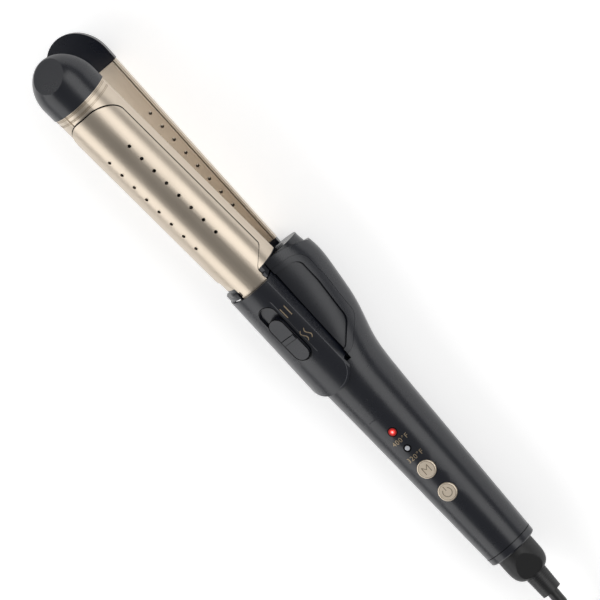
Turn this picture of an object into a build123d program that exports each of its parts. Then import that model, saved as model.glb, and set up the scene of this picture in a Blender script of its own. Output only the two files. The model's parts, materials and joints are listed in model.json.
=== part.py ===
# Two-in-one curling iron: a fixed half barrel on the handle, a hinged half barrel over it,
# and a curling clip on a lever that shares the hinge pin.
# Millimetres. The iron lies on its back: +X runs from the barrel tip to the cord,
# +Y across, +Z up through the lever. The origin is on the flat under the head, below the hinge pin.

import math
import os

from build123d import *

# Overall lengths along X, measured from the hinge pin
tip_x = -209.3
barrel_seam_x = -184.0
barrel_root_x = -68.0
near_root_x = -65.5
near_end_wall = 0.4
root_disc_x = -64.8
body_front_x = -66.6
head_front_x = -63.8
flange_x = -62.7
lever_front_x = -59.4
lever_rear_x = 4.8
neck_x = 13.0
loft_end_x = 30.0
handle_end_x = 118.0
collar_end_x = 122.0
relief_end_x = 150.2

# Main body
axis_z = 16.8
head_depth = 17.6
neck_r = 17.15
handle_end_r = 13.35
wall = 2.2
fit = 0.1
running = 0.06
seam_gap = 0.3
shell_front_x = -57.3
shell_rake = 23.0
pocket_y = 9.8
pocket_turn_x = -10.0
pocket_rear_x = 4.6
pocket_roof_x, pocket_roof_z = -1.8, 14.4
collar_depth = 12.4

# Finger panel, with a rim round its scoop
rest_corners = [(-60.0, 3.8), (-57.6, 25.4), (-40.0, 25.5), (-16.0, 23.2), (-4.6, 13.0), (-3.8, 3.8)]
rest_corner_radii = [8.0, 40.0, 12.0, 6.0]
rest_depth, rest_floor = 2.6, 1.6
rest_bottom_z = 4.0
rest_rim, scoop_depth = 2.9, 1.3

# Arms
open_angle = 8.6
barrel_r = 16.0
barrel_wall = 1.2
cap_r = 16.4
cap_rim = 6.5
plate_t = 2.0
plate_fit = 0.25
heater_length, heater_width, heater_t = 75.0, 12.0, 3.0
heater_x = -127.0
fuse_r, fuse_length, fuse_x = 1.9, 12.0, -79.0
block_r = 14.3
neck_block_r = 12.5
collar_step_x = -57.0
flange_r = 18.0
vent_r = 0.9
vent_pitch = 8.5
vent_count = 8
vent_first_x = -153.0
vent_angle = 23.5
plate_vent_y = 11.0
channel_angle = 25.0
channel_depth = 0.4
facet_x, facet_z, facet_angle = -203.5, 8.0, 42.0

# Clip
clip_t = 0.7
clip_gap = 0.1
clip_tip_x = -177.5
clip_half = 14.6
clip_corner = 11.0
clip_shoulder_x = -73.0
clip_neck_x = -66.0
clip_neck_half = 7.8
clip_end_x = -52.2
clip_screw_places = [(clip_end_x - 3.4, 2.9), (clip_end_x - 3.4, -2.9)]
clip_screw_r, clip_screw_head_r = 0.9, 1.7
clip_screw_head_t = 0.8
clip_screw_z = barrel_r - 1.6

# Lever
lever_wall = 1.5
lever_clear = 0.4
lever_front_r = barrel_r + clip_t + lever_clear + lever_wall
lever_flare = 2.8
lever_rear_r = lever_front_r + lever_flare
lever_edge_y = 9.3
ridge_y, ridge_lean = 8.1, 12.4
lever_swing_gap = 0.9
lever_wrap_y = 24.0
lever_floor = 1.5
lever_corner = 12.0
lever_skirt_corner = 16.0
ear_t = 2.0
ear_r = 4.2

# Hinge
pin_r = 2.0
pin_z = 9.0
pin_half = 13.6
boss_end_y = 14.2
boss_r = 4.6
washer_t = 0.4

# Mode switch on the lever
slot_x = -33.8
slot_length, slot_width = 32.8, 9.5
slot_depth = 1.9
slot_angle = -12.0
knob_length = 25.6
knob_fit = 0.2
knob_proud = 1.1
switch_travel = 7.2
pan_depth = 3.2
stem_length, stem_width = 6.0, 2.6
latch_length, latch_width, latch_t = 18.0, 7.0, 1.0
rib_width, rib_height = 2.4, 0.6

# Buttons and lights on the handle
mode_button_x = 63.4
power_button_x = 78.4
button_r = 4.8
button_fit = 0.22
button_proud = 0.45
button_travel = 0.5
button_flange_r, button_flange_t = 5.8, 0.8
high_light_x = 38.8
low_light_x = 49.5
light_r = 1.25
light_proud = 0.15

# Circuit board
board_z, board_t = 4.0, 1.6
board_start_x, board_end_x = 30.0, 94.0
board_half = 8.6
board_post_r = 2.2
board_post_inset, board_post_y = 3.5, 5.0
tact_side, tact_height = 6.0, 3.0
led_r, led_height = 1.5, 3.0

# Shell screws
screw_xs = (22.0, 100.0)
screw_r, screw_head_r, screw_head_t = 1.4, 2.7, 1.8
screw_seat = 3.6
screw_boss_r = 4.2
screw_reach = 5.0

# Cord end
gland_r = 10.3
gland_neck_r = 7.0
gland_flange_r, gland_flange_t = 9.4, 3.0
gland_facet_x, gland_facet_angle = 131.0, 29.0
spigot_length = 9.0
relief_r, relief_end_r = 6.0, 5.3
relief_root_x = 123.5
rib_count, rib_pitch, rib_depth, rib_gap = 12, 1.15, 0.45, 0.5
cord_r = 3.0

# Coil and plug
coil_x = 224.2
coil_start_y = -19.0
coil_mean_r, coil_pitch = 30.0, 6.5
coil_layer_pairs = 2
coil_z = 3.9
tie_t, tie_width, tie_gap = 0.6, 6.0, 0.35
plug_length, plug_width, plug_height = 28.0, 24.0, 14.0
plug_relief_length, plug_relief_r = 12.0, 4.4
plug_rest = 2.4
blade_length, blade_width, blade_t, blade_spacing = 16.0, 6.3, 1.5, 12.7

# Springs
arm_spring_x, arm_spring_r, arm_spring_wire = -30.0, 3.0, 0.45
spring_seat = 7.0
clip_spring_x, clip_spring_r, clip_spring_wire = -8.2, 1.5, 0.3
clip_spring_seat_z = 12.0
spring_turns = 5

os.makedirs("parts", exist_ok=True)
pieces = []


def keep(builder, label):
    builder.part.label = label
    pieces.append(builder.part)
    export_step(builder.part, "parts/" + label + ".step")


def plan(height):
    """Level plane at a height over the long axis."""
    return Plane.XY.offset(axis_z + height)


def across(x):
    """Plane square to the long axis, its own x along +Y and its own y along +Z."""
    return Plane(origin=(x, 0, axis_z), x_dir=(0, 1, 0), z_dir=(1, 0, 0))


def radial(angle):
    """Plane through the long axis, leaning from +Z towards +Y, its own y pointing out."""
    lean = math.radians(angle)
    return Plane(origin=(0, 0, axis_z), x_dir=(1, 0, 0), z_dir=(0, -math.cos(lean), math.sin(lean)))


def outward(x, angle, radius):
    """Plane that faces straight out of the barrel at a point on its skin."""
    lean = math.radians(angle)
    out = (0, math.sin(lean), math.cos(lean))
    place = (x, radius * out[1], axis_z + radius * out[2])
    return Plane(origin=place, x_dir=(1, 0, 0), z_dir=out)


arm_pose = Pos(0, 0, axis_z + pin_z) * Rot(0, open_angle, 0) * Pos(0, 0, -axis_z - pin_z)


def on_arm(plane):
    """The same plane, carried round the hinge pin with the opened arm."""
    return Plane(arm_pose * plane.location)


long_axis = Axis((0, 0, axis_z), (1, 0, 0))
arm_base = on_arm(radial(0))
arm_axis = Axis(arm_base.origin, arm_base.x_dir)


def handle_r(x):
    """Outer radius of the tapered handle."""
    share = (x - neck_x) / (handle_end_x - neck_x)
    return neck_r + (handle_end_r - neck_r) * share


def lever_r(x):
    """Outer radius of the lever's cone."""
    share = (x - lever_front_x) / (lever_rear_x - lever_front_x)
    return lever_front_r + (lever_rear_r - lever_front_r) * share


# Outline of the body behind the barrel: station, reach on the finger side, on the lever side and upwards
stations = [
    (body_front_x, 28.2, 18.4, head_depth),
    (-54.7, 28.3, 18.6, head_depth),
    (-40.0, 27.9, 18.8, head_depth),
    (-27.0, 26.2, 19.0, head_depth),
    (-11.0, 22.3, 18.8, head_depth),
    (-3.0, 19.8, 18.4, 17.6),
    (5.3, 18.1, 17.8, 17.5),
    (neck_x, neck_r + 0.2, neck_r + 0.2, neck_r + 0.2),
    (loft_end_x, handle_r(loft_end_x), handle_r(loft_end_x), handle_r(loft_end_x)),
]


def body_form(inset):
    """Solid body outline, drawn in all round by an inset."""
    with BuildPart() as form:
        for x, finger_side, lever_side, depth in stations:
            with BuildSketch(across(x)):
                with Locations(((finger_side - lever_side) / 2, 0)):
                    Ellipse((finger_side + lever_side) / 2 - inset, depth - inset)
        loft()
        with BuildSketch(radial(0)):
            with BuildLine():
                Polyline(
                    (loft_end_x, 0),
                    (loft_end_x, handle_r(loft_end_x) - inset),
                    (handle_end_x, handle_end_r - inset),
                    (handle_end_x, 0),
                    close=True,
                )
            make_face()
        revolve(axis=long_axis)
        split(bisect_by=Plane.XY.offset(inset), keep=Keep.TOP)
    return form.part


def pocket_form(margin):
    """Room in the body's upper half for the hinged arm and its lever, with a margin round it."""
    with BuildPart() as pocket:
        with BuildSketch(plan(-fit if margin > wall else 0)):
            with BuildLine():
                Polyline(
                    (body_front_x - 10, pocket_y + margin),
                    (pocket_rear_x + margin, pocket_y + margin),
                    (pocket_rear_x + margin, -pocket_y - margin),
                    (pocket_turn_x + margin, -pocket_y - margin),
                    (pocket_turn_x + margin, -60),
                    (body_front_x - 10, -60),
                    close=True,
                )
            make_face()
        extrude(amount=40)
        if margin == 0:
            roof_y = (ear_t + seam_gap - lever_edge_y, pocket_y + 1)
            with BuildSketch(plan(pocket_roof_z)):
                with Locations((pocket_roof_x + pocket_rear_x, sum(roof_y) / 2)):
                    Rectangle(2 * pocket_rear_x, roof_y[1] - roof_y[0])
            extrude(amount=40, mode=Mode.SUBTRACT)
    return pocket.part


outer_form = body_form(0)
inner_form = body_form(wall)
pocket = pocket_form(0)


def finger_outline(inset):
    """Plan outline of the finger panel on the head's shoulder, drawn in by an inset."""
    with BuildSketch(plan(rest_bottom_z + inset)) as outline:
        with BuildLine():
            Polyline(rest_corners, close=True)
        make_face()
        for corner, radius in zip(rest_corners[1:-1], rest_corner_radii):
            fillet(outline.vertices().sort_by_distance((*corner, axis_z))[0], radius)
        if inset:
            offset(amount=-inset)
    return outline.sketch


def finger_room(outline_inset, depth):
    """Everything over the finger panel's outline, down to a depth under the body's surface."""
    with BuildPart() as room:
        add(finger_outline(outline_inset))
        extrude(amount=30)
        add(body_form(depth), mode=Mode.SUBTRACT)
    return room.part


with BuildPart() as cavity:
    add(inner_form)
    add(pocket_form(wall), mode=Mode.SUBTRACT)
    add(finger_room(-rest_floor, rest_depth + rest_floor), mode=Mode.SUBTRACT)


# Bosses that take the ends of the hinge pin, kept under the skin
with BuildPart() as pin_bosses:
    for side in (1, -1):
        with BuildSketch(Plane.XZ.offset(-side * pocket_y)):
            with Locations((0, axis_z + pin_z)):
                Circle(boss_r)
        extrude(amount=-side * (boss_end_y - pocket_y))
    add(body_form(wall / 2), mode=Mode.INTERSECT)

# Body shells
with BuildPart() as body_front_shell:
    add(outer_form)
    split(bisect_by=plan(0), keep=Keep.TOP)
    add(cavity.part, mode=Mode.SUBTRACT)
    add(pocket, mode=Mode.SUBTRACT)
    rake_plane = Plane(
        origin=(shell_front_x, 0, axis_z),
        x_dir=(0, 1, 0),
        z_dir=(math.cos(math.radians(shell_rake)), 0, math.sin(math.radians(shell_rake))),
    )
    split(bisect_by=rake_plane, keep=Keep.TOP)
    add(pin_bosses.part)
    with BuildSketch(Plane.XZ.offset(-boss_end_y)):
        with Locations((0, axis_z + pin_z)):
            Circle(pin_r + fit / 2)
    extrude(amount=2 * boss_end_y, mode=Mode.SUBTRACT)
    for x in (board_start_x + board_post_inset, board_end_x - board_post_inset):
        for side in (1, -1):
            with BuildSketch(plan(board_z + board_t)):
                with Locations((x, side * board_post_y)):
                    Circle(board_post_r)
            reach = math.sqrt((handle_r(x) - wall / 2) ** 2 - (board_post_y + board_post_r) ** 2)
            extrude(amount=reach - board_z - board_t)
    for x in screw_xs:
        with BuildSketch(plan(0)):
            with Locations((x, 0)):
                Circle(screw_boss_r - 1)
                Circle(screw_r + fit / 2, mode=Mode.SUBTRACT)
        extrude(amount=handle_r(x) - wall / 2)
    for x in (mode_button_x, power_button_x):
        with BuildSketch(plan(board_z + tact_height)):
            with Locations((x, 0)):
                Circle(button_r + button_fit)
        extrude(amount=neck_r, mode=Mode.SUBTRACT)
    for x in (high_light_x, low_light_x):
        with BuildSketch(plan(board_z + tact_height)):
            with Locations((x, 0)):
                Circle(light_r + fit / 2)
        extrude(amount=neck_r, mode=Mode.SUBTRACT)

    add(finger_room(0, rest_depth), mode=Mode.SUBTRACT)
keep(body_front_shell, "body_front_shell")

with BuildPart() as finger_rest:
    add(finger_room(fit, rest_depth - fit / 2))
    add(outer_form, mode=Mode.INTERSECT)
    add(finger_room(rest_rim, scoop_depth), mode=Mode.SUBTRACT)
    split(bisect_by=Plane.XZ.offset(-pocket_y - fit), keep=Keep.BOTTOM)
keep(finger_rest, "finger_rest")

with BuildPart() as body_back_shell:
    add(outer_form)
    split(bisect_by=plan(0), keep=Keep.BOTTOM)
    with BuildSketch(plan(-axis_z - 5)):
        with Locations(((shell_front_x + handle_end_x) / 2, 0)):
            Rectangle(handle_end_x - shell_front_x, 80)
    extrude(amount=60, mode=Mode.INTERSECT)
    add(inner_form, mode=Mode.SUBTRACT)
    for x in screw_xs:
        with BuildSketch(plan(0)):
            with Locations((x, 0)):
                Circle(screw_boss_r)
        extrude(amount=-(handle_r(x) - wall / 2))
        with BuildSketch(plan(0)):
            with Locations((x, 0)):
                Circle(screw_r + fit)
        extrude(amount=-handle_r(x), mode=Mode.SUBTRACT)
        with BuildSketch(plan(-handle_r(x) + screw_seat)):
            with Locations((x, 0)):
                Circle(screw_head_r + fit)
        extrude(amount=-screw_seat - 1, mode=Mode.SUBTRACT)
keep(body_back_shell, "body_back_shell")

collar_form = body_form(wall + fit)
with BuildPart() as head_collar:
    add(collar_form)
    with BuildSketch(across(head_front_x)):
        Circle(60)
        Circle(neck_block_r + fit, mode=Mode.SUBTRACT)
    extrude(amount=collar_depth, mode=Mode.INTERSECT)
    with BuildSketch(across(collar_step_x)):
        Circle(block_r + fit)
    extrude(amount=collar_depth, mode=Mode.SUBTRACT)
    add(pocket_form(wall + fit), mode=Mode.SUBTRACT)
    add(finger_room(-rest_floor - fit, rest_depth + rest_floor + fit), mode=Mode.SUBTRACT)
keep(head_collar, "head_collar")

with BuildPart() as end_collar:
    with BuildSketch(radial(0)):
        with BuildLine():
            Polyline(
                (handle_end_x - spigot_length, gland_neck_r + fit),
                (handle_end_x - spigot_length, handle_end_r - wall - fit),
                (handle_end_x, handle_end_r - wall - fit),
                (handle_end_x, handle_end_r),
                (collar_end_x, handle_end_r - 0.2),
                (collar_end_x, gland_neck_r + fit),
                close=True,
            )
        make_face()
    revolve(axis=long_axis)
    chamfer(end_collar.edges().group_by(Axis.X)[-1].sort_by(SortBy.RADIUS)[-1], 0.6)
keep(end_collar, "end_collar")

# Hinge pin and washers
with BuildPart() as hinge_pin:
    with BuildSketch(Plane.XZ.offset(-pin_half)):
        with Locations((0, axis_z + pin_z)):
            Circle(pin_r)
    extrude(amount=2 * pin_half)
    chamfer(hinge_pin.edges(), 0.3)
keep(hinge_pin, "hinge_pin")

with BuildPart() as hinge_washers:
    washer_y = (pocket_y + lever_edge_y) / 2
    for side in (1, -1):
        with BuildSketch(Plane.XZ.offset(-side * washer_y - washer_t / 2)):
            with Locations((0, axis_z + pin_z)):
                Circle(boss_r - 0.6)
                Circle(pin_r + running, mode=Mode.SUBTRACT)
        extrude(amount=washer_t)
keep(hinge_washers, "hinge_washers")


def half_disc(place, start_angle, axis, x0, x1, r0, r1):
    """Half a tube between two radii, on one side of the split between the arms."""
    with BuildPart() as half:
        with BuildSketch(place(radial(start_angle))):
            with Locations(((x0 + x1) / 2, (r0 + r1) / 2)):
                Rectangle(x1 - x0, r1 - r0)
        revolve(axis=axis, revolution_arc=180)
    return half.part


def half_dome(place, start_angle, axis):
    """Half of the domed tip, from the barrel seam to the end."""
    with BuildPart() as dome:
        with BuildSketch(place(radial(start_angle))):
            with BuildLine():
                Line((barrel_seam_x, 0), (barrel_seam_x, cap_r))
                Line((barrel_seam_x, cap_r), (barrel_seam_x - cap_rim, cap_r))
                EllipticalCenterArc(
                    (barrel_seam_x - cap_rim, 0),
                    barrel_seam_x - cap_rim - tip_x,
                    cap_r,
                    start_angle=90,
                    arc_size=90,
                )
                Line((tip_x, 0), (barrel_seam_x, 0))
            make_face()
        revolve(axis=axis, revolution_arc=180)
    return dome.part


def fixed(plane):
    """Planes of the fixed arm stay where they are."""
    return plane


def vent_places(place, angle, radius):
    """Spots of one row of vents on a barrel skin."""
    return [
        place(outward(vent_first_x + vent_pitch * step, angle, radius)).location
        for step in range(vent_count)
    ]


arms = {"far": (fixed, -1, long_axis, barrel_root_x), "near": (on_arm, 1, arm_axis, near_root_x)}

for arm, (place, side, axis, root_x) in arms.items():
    start = 90 * side
    split_keep = Keep.TOP if side > 0 else Keep.BOTTOM
    inner_r = barrel_r - barrel_wall
    skin_r = barrel_r - clip_gap if side > 0 else barrel_r

    barrel_form = half_disc(place, start, axis, barrel_seam_x, root_x, inner_r, skin_r)
    with BuildPart() as barrel:
        add(barrel_form)
        split(bisect_by=place(plan(side * seam_gap)), keep=split_keep)
        if side > 0:
            with BuildSketch(place(radial(channel_angle))):
                with Locations(((barrel_seam_x + root_x) / 2, skin_r)):
                    Rectangle(root_x - barrel_seam_x, 2 * channel_depth)
            revolve(axis=axis, revolution_arc=2 * channel_angle, mode=Mode.SUBTRACT)
            slot_middle = vent_first_x + vent_pitch * (vent_count - 1) / 2
            for angle in (vent_angle, -vent_angle):
                with BuildSketch(place(outward(slot_middle, angle, barrel_r))):
                    SlotOverall(vent_pitch * vent_count, 2 * vent_r + 1)
                extrude(amount=-barrel_wall * 2, mode=Mode.SUBTRACT)
        else:
            for angle in (180 - vent_angle, 180 + vent_angle):
                with Locations(*vent_places(place, angle, barrel_r)):
                    Hole(vent_r, depth=barrel_wall * 2)
    keep(barrel, arm + "_barrel")

    with BuildPart() as plate:
        plate_half = math.sqrt(inner_r**2 - (seam_gap + plate_t) ** 2) - plate_fit
        plate_length = root_x - barrel_seam_x - 2 * plate_fit
        plate_mid_x = (barrel_seam_x + root_x) / 2
        with BuildSketch(place(plan(side * seam_gap))):
            with Locations((plate_mid_x, 0)):
                Rectangle(plate_length, 2 * plate_half)
            for row in (plate_vent_y, -plate_vent_y):
                vents_mid_x = vent_first_x + vent_pitch * (vent_count - 1) / 2
                with Locations((vents_mid_x, row)):
                    with GridLocations(vent_pitch, 1, vent_count, 1):
                        Circle(vent_r, mode=Mode.SUBTRACT)
        extrude(amount=side * plate_t)
    keep(plate, arm + "_plate")

    with BuildPart() as heater:
        with BuildSketch(place(plan(side * (seam_gap + plate_t)))):
            with Locations((heater_x, 0)):
                Rectangle(heater_length, heater_width)
        extrude(amount=side * heater_t)
        chamfer(heater.edges().filter_by(Axis(axis.position, axis.direction)), 0.4)
    keep(heater, arm + "_heater")

    with BuildPart() as fuse:
        with BuildSketch(place(across(fuse_x - fuse_length / 2))):
            with Locations((0, side * (seam_gap + plate_t + fuse_r + fit))):
                Circle(fuse_r)
        extrude(amount=fuse_length)
    keep(fuse, arm + "_thermal_fuse")

    cap_spigot = half_disc(place, start, axis, barrel_seam_x, barrel_seam_x + 6, 0, inner_r - fit)
    cap_dome = half_dome(place, start, axis)
    with BuildPart() as tip_cap:
        add(cap_spigot)
        split(bisect_by=place(plan(side * (seam_gap + plate_t + plate_fit))), keep=split_keep)
        add(cap_dome)
        split(bisect_by=place(plan(side * seam_gap)), keep=split_keep)
        lean = math.radians(facet_angle)
        facet = Plane(
            origin=(facet_x, 0, axis_z + side * facet_z),
            x_dir=(0, 1, 0),
            z_dir=(-math.cos(lean), 0, side * math.sin(lean)),
        )
        split(bisect_by=place(facet), keep=Keep.BOTTOM)
    keep(tip_cap, arm + "_tip_cap")

# Fixed arm's root, held in the head
far_disc = half_disc(fixed, -90, long_axis, barrel_root_x, root_disc_x, 0, barrel_r - 0.2)
far_neck = half_disc(fixed, -90, long_axis, root_disc_x, collar_step_x, 0, neck_block_r)
far_body = half_disc(fixed, -90, long_axis, collar_step_x, pocket_turn_x, 0, block_r)
with BuildPart() as far_root_block:
    add(far_disc)
    add(far_neck)
    add(far_body)
    split(bisect_by=plan(-seam_gap), keep=Keep.BOTTOM)
    with BuildSketch(plan(-seam_gap)):
        with Locations((arm_spring_x, 0)):
            Circle(arm_spring_r + 1)
    extrude(amount=seam_gap - spring_seat, mode=Mode.SUBTRACT)
keep(far_root_block, "far_root_block")

# Hinged arm's root, with its flange before the lever and its barrel round the pin
near_disc = half_disc(on_arm, 90, arm_axis, near_root_x, flange_x, 0, barrel_r - 0.2)
near_flange = half_disc(on_arm, 90, arm_axis, flange_x, lever_front_x - lever_swing_gap, 0, flange_r)
near_body = half_disc(on_arm, 90, arm_axis, lever_front_x - lever_swing_gap, -boss_r, 0, block_r)
knuckle_half = lever_edge_y - ear_t - seam_gap
with BuildPart() as near_root_block:
    add(near_disc)
    add(near_flange)
    with BuildSketch(on_arm(across(flange_x - 1))):
        with Locations((0, 2 * barrel_r - 10)):
            Rectangle(2 * clip_neck_half + 1, 2 * barrel_r)
        Circle(barrel_r - 0.2, mode=Mode.SUBTRACT)
    extrude(amount=lever_front_x - flange_x + 2, mode=Mode.SUBTRACT)
    add(near_body)
    split(bisect_by=on_arm(plan(seam_gap)), keep=Keep.TOP)
    with BuildSketch(on_arm(plan(0))):
        with BuildLine():
            Polyline(
                (near_root_x + near_end_wall, pocket_y - 0.4),
                (lever_front_x - lever_swing_gap, pocket_y - 0.4),
                (lever_front_x - lever_swing_gap, lever_edge_y - lever_wall - seam_gap),
                (-boss_r, lever_edge_y - lever_wall - seam_gap),
                (-boss_r, barrel_r * 2),
                (near_root_x + near_end_wall, barrel_r * 2),
                close=True,
            )
        make_face()
    extrude(amount=40, mode=Mode.SUBTRACT)
    with BuildSketch(on_arm(plan(0))):
        for edge in (1, -1):
            with Locations((-boss_r, edge * (knuckle_half + barrel_r))):
                Rectangle(3 * boss_r, 2 * barrel_r)
    extrude(amount=40, mode=Mode.SUBTRACT)
    with BuildSketch(on_arm(Plane.XZ.offset(-knuckle_half))):
        with Locations((0, axis_z + pin_z)):
            Circle(boss_r - 0.4)
        with Locations((-boss_r, axis_z + pin_z)):
            Rectangle(2 * boss_r, 2 * boss_r - 1.4)
    extrude(amount=2 * knuckle_half)
    with BuildSketch(on_arm(Plane.XZ.offset(-knuckle_half))):
        with Locations((0, axis_z + pin_z)):
            Circle(pin_r + running)
    extrude(amount=2 * knuckle_half, mode=Mode.SUBTRACT)
    with BuildSketch(on_arm(plan(0))):
        with Locations((arm_spring_x, 0)):
            Circle(arm_spring_r + 2)
    extrude(amount=spring_seat, mode=Mode.SUBTRACT)
    with BuildSketch(on_arm(plan(clip_screw_z - 0.5))):
        with Locations(clip_screw_places[0][:1] + (0,)):
            Rectangle(9, 2 * clip_neck_half)
    extrude(amount=10, mode=Mode.SUBTRACT)
    with BuildSketch(on_arm(plan(clip_spring_seat_z))):
        with Locations((clip_spring_x, 0)):
            Circle(clip_spring_r + 0.6)
    extrude(amount=20, mode=Mode.SUBTRACT)
keep(near_root_block, "near_root_block")

# Clip: a sprung sheet with a neck that runs into the lever
with BuildPart() as clip_sheet:
    with BuildSketch(on_arm(plan(0))) as clip_outline:
        with BuildLine():
            Polyline(
                (clip_tip_x, -clip_half),
                (clip_shoulder_x, -clip_half),
                (clip_neck_x, -clip_neck_half),
                (clip_end_x, -clip_neck_half),
                (clip_end_x, clip_neck_half),
                (clip_neck_x, clip_neck_half),
                (clip_shoulder_x, clip_half),
                (clip_tip_x, clip_half),
                close=True,
            )
        make_face()
        fillet(clip_outline.vertices().group_by(Axis.X)[0], clip_corner)
        fillet(clip_outline.vertices().filter_by_position(Axis.X, clip_shoulder_x - 3, clip_neck_x + 3), 3.5)
    extrude(amount=30)
    with BuildSketch(on_arm(across(clip_tip_x))):
        Circle(barrel_r + clip_t)
        Circle(barrel_r, mode=Mode.SUBTRACT)
    extrude(amount=clip_end_x - clip_tip_x, mode=Mode.INTERSECT)
    for angle in (vent_angle, -vent_angle):
        with Locations(*vent_places(on_arm, angle, barrel_r + clip_t)):
            Hole(vent_r, depth=2 * clip_t)
    with BuildSketch(on_arm(plan(0))):
        with Locations(*clip_screw_places):
            Circle(clip_screw_r + fit)
    extrude(amount=30, mode=Mode.SUBTRACT)
keep(clip_sheet, "clip_sheet")

with BuildPart() as clip_screws:
    with BuildSketch(on_arm(plan(clip_screw_z))):
        with Locations(*clip_screw_places):
            Circle(clip_screw_head_r)
    extrude(amount=clip_screw_head_t)
    with BuildSketch(on_arm(plan(clip_screw_z))):
        with Locations(*clip_screw_places):
            Circle(clip_screw_r)
    extrude(amount=lever_front_r - 0.6 - clip_screw_z)
keep(clip_screws, "clip_screws")


def lever_cone(thickness):
    """Half cone that the lever's skin follows, less a thickness."""
    with BuildPart() as cone:
        with BuildSketch(on_arm(radial(90))):
            with BuildLine():
                Polyline(
                    (lever_front_x, 0),
                    (lever_front_x, lever_front_r - thickness),
                    (lever_rear_x + 1, lever_r(lever_rear_x + 1) - thickness),
                    (lever_rear_x + 1, 0),
                    close=True,
                )
            make_face()
        revolve(axis=arm_axis, revolution_arc=180)
    return cone.part


def switch_plane(x):
    """Plane on the lever's skin at the switch, its own x along the switch's travel."""
    slope = math.atan2(lever_rear_r - lever_front_r, lever_rear_x - lever_front_x)
    lean = math.radians(slot_angle)
    radius = lever_r(x)
    along = (
        math.cos(slope),
        math.sin(slope) * math.sin(lean),
        math.sin(slope) * math.cos(lean),
    )
    out = (
        -math.sin(slope),
        math.cos(slope) * math.sin(lean),
        math.cos(slope) * math.cos(lean),
    )
    place = (x, radius * math.sin(lean), axis_z + radius * math.cos(lean))
    return on_arm(Plane(origin=place, x_dir=along, z_dir=out))


cone_outer = lever_cone(0)
cone_inner = lever_cone(lever_wall)
with BuildPart() as lever_shell:
    with BuildSketch(on_arm(plan(lever_floor))) as lever_outline:
        with BuildLine():
            Polyline(
                (lever_front_x, lever_edge_y),
                (lever_rear_x, lever_edge_y),
                (lever_rear_x, -lever_wrap_y),
                (lever_front_x, -lever_wrap_y),
                close=True,
            )
        make_face()
        fillet(lever_outline.vertices().group_by(Axis.X)[-1].sort_by(Axis.Y)[0], lever_skirt_corner)
        fillet(lever_outline.vertices().group_by(Axis.X)[-1].sort_by(Axis.Y)[-1], lever_corner)
    extrude(amount=40)
    add(cone_outer, mode=Mode.INTERSECT)
    add(cone_inner, mode=Mode.SUBTRACT)
    # Side wall beside the head's shoulder
    with BuildSketch(on_arm(Plane.XZ.offset(-lever_edge_y))):
        with BuildLine():
            Polyline(
                (lever_front_x, axis_z + lever_floor),
                (-boss_r - 1, axis_z + lever_floor),
                (0, axis_z + pin_z - ear_r + 0.6),
                (0, axis_z + pin_z + ear_r - 0.9),
                (-boss_r - 1, axis_z + pin_z + ear_r + 0.3),
                (-boss_r - 1, axis_z + lever_r(-boss_r) - 3),
                (lever_front_x, axis_z + lever_front_r - 3.2),
                close=True,
            )
        make_face()
    extrude(amount=lever_wall)
    # Its outer face leans in to the ridge
    lean = math.radians(ridge_lean)
    ridge_z = axis_z + math.sqrt(lever_front_r**2 - ridge_y**2)
    flank = Plane(origin=(0, ridge_y, ridge_z), x_dir=(1, 0, 0), z_dir=(0, math.cos(lean), math.sin(lean)))
    split(bisect_by=on_arm(flank), keep=Keep.BOTTOM)
    # Ears that turn on the hinge pin, one hung from the side wall and one from the lever's skin
    for ear_y in (lever_edge_y, ear_t - lever_edge_y):
        with BuildSketch(on_arm(Plane.XZ.offset(-ear_y))):
            with Locations((0, axis_z + pin_z)):
                Circle(ear_r)
            if ear_y < 0:
                with Locations((-ear_r / 2, axis_z + pin_z + 5)):
                    Rectangle(ear_r, 8.6)
        extrude(amount=ear_t)
    with BuildSketch(on_arm(Plane.XZ.offset(-lever_edge_y))):
        with Locations((0, axis_z + pin_z)):
            Circle(pin_r + running)
    extrude(amount=2 * lever_edge_y, mode=Mode.SUBTRACT)
    # Pan under the switch, its slot and the slit for the stem
    with BuildSketch(switch_plane(slot_x).offset(-pan_depth)):
        RectangleRounded(slot_length + 3, slot_width + 3, 2.0)
    extrude(amount=pan_depth - lever_wall * 0.6)
    with BuildSketch(switch_plane(slot_x).offset(-slot_depth)):
        SlotOverall(slot_length, slot_width)
    extrude(amount=slot_depth * 3, mode=Mode.SUBTRACT)
    with BuildSketch(switch_plane(slot_x).offset(-pan_depth)):
        SlotOverall(switch_travel + stem_length + 2 * knob_fit + stem_width, stem_width + 2 * knob_fit)
    extrude(amount=5, mode=Mode.SUBTRACT)
    # Seat that the clip's neck is screwed to
    with BuildSketch(on_arm(across(lever_front_x + 0.5))):
        with Locations((0, barrel_r)):
            Rectangle(2 * clip_neck_half - 2, barrel_r)
        Circle(lever_front_r - 0.4, mode=Mode.INTERSECT)
        Circle(barrel_r + clip_t + fit / 2, mode=Mode.SUBTRACT)
    extrude(amount=clip_end_x - lever_front_x - 0.5)
    with BuildSketch(on_arm(plan(clip_screw_z))):
        with Locations(*clip_screw_places):
            Circle(clip_screw_r + fit / 2)
    extrude(amount=lever_front_r - 0.5 - clip_screw_z, mode=Mode.SUBTRACT)
keep(lever_shell, "lever_shell")

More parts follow.
